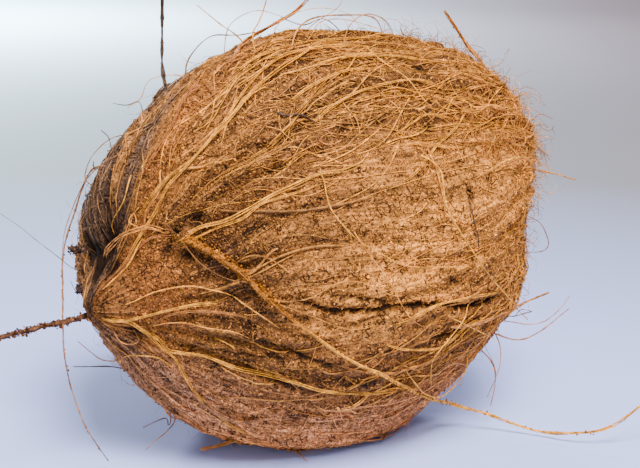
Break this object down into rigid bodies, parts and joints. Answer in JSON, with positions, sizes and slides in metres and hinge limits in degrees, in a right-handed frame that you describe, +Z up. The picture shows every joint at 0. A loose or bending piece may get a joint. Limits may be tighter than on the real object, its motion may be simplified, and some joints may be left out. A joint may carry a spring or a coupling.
{
  "type": "coconut",
  "caption": "Husked mature coconut lying on its side: coir-covered shell with three ridges, a pointed beak and loose stray fibres.",
  "frame": {"origin": "middle of the small flat spot that the coconut rests on, on its lower side", "axes": "+Z up, away from the surface it lies on; +X along its length, from the pointed beak toward the blunt end; -Y toward the side with the broad face"},
  "size_m": [0.1627, 0.128, 0.1216],
  "materials": {
    "coir_husk": "dry matt coir fibre, tan to dark brown, stood in by wood"
  },
  "bodies": {
    "root": {"coconut": "coir_husk"}
  },
  "joints": []
}
